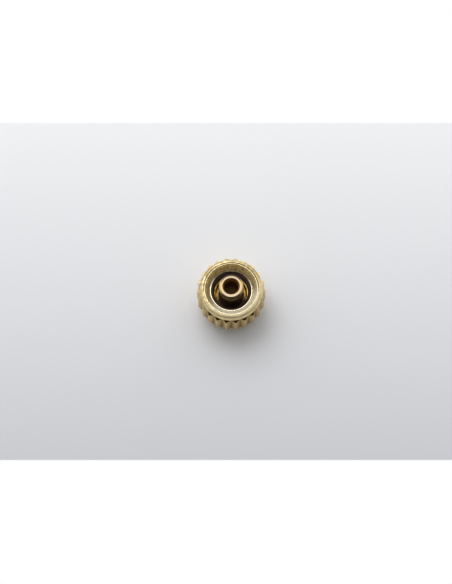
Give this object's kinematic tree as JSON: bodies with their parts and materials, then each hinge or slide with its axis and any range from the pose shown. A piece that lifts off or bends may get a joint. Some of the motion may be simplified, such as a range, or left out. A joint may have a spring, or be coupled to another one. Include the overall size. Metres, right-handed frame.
{
  "type": "watch crown",
  "caption": "Screw-down watch crown with a ridged rim, a dished mouth with an O-ring, and a sprung stem pipe that slides into the head.",
  "frame": {"origin": "middle of the flat outer face, which lies on the table in the picture", "axes": "+Z along the crown's axis, from the outer face towards the watch case; a groove between two ridges faces -Y"},
  "size_m": [0.0052, 0.0052, 0.0039],
  "materials": {
    "gold": "pale gold, fine turned and lightly worn",
    "gold_pipe": "pale gold, turned bright",
    "brass": "turned brass",
    "spring_steel": "drawn wire",
    "rubber": "greased black rubber"
  },
  "bodies": {
    "crown": {"knurled_cap": "gold", "drive_socket": "brass", "spring_disc": "spring_steel", "return_spring": "spring_steel", "guide_plate": "brass", "floor_gasket": "rubber", "gasket_washer": "gold_pipe", "threaded_core": "gold", "mouth_o_ring": "rubber", "dished_ring": "gold"},
    "pipe": {"stem_pipe": "gold_pipe"}
  },
  "joints": [
    {"name": "pipe_slide", "type": "slide", "parent": "crown", "child": "pipe", "axis": [0, 0, 1], "range_m": [-0.0006, 0], "stiffness_N_per_m": 300, "springref_m": 0.0008, "deforming": ["return_spring"]}
  ]
}
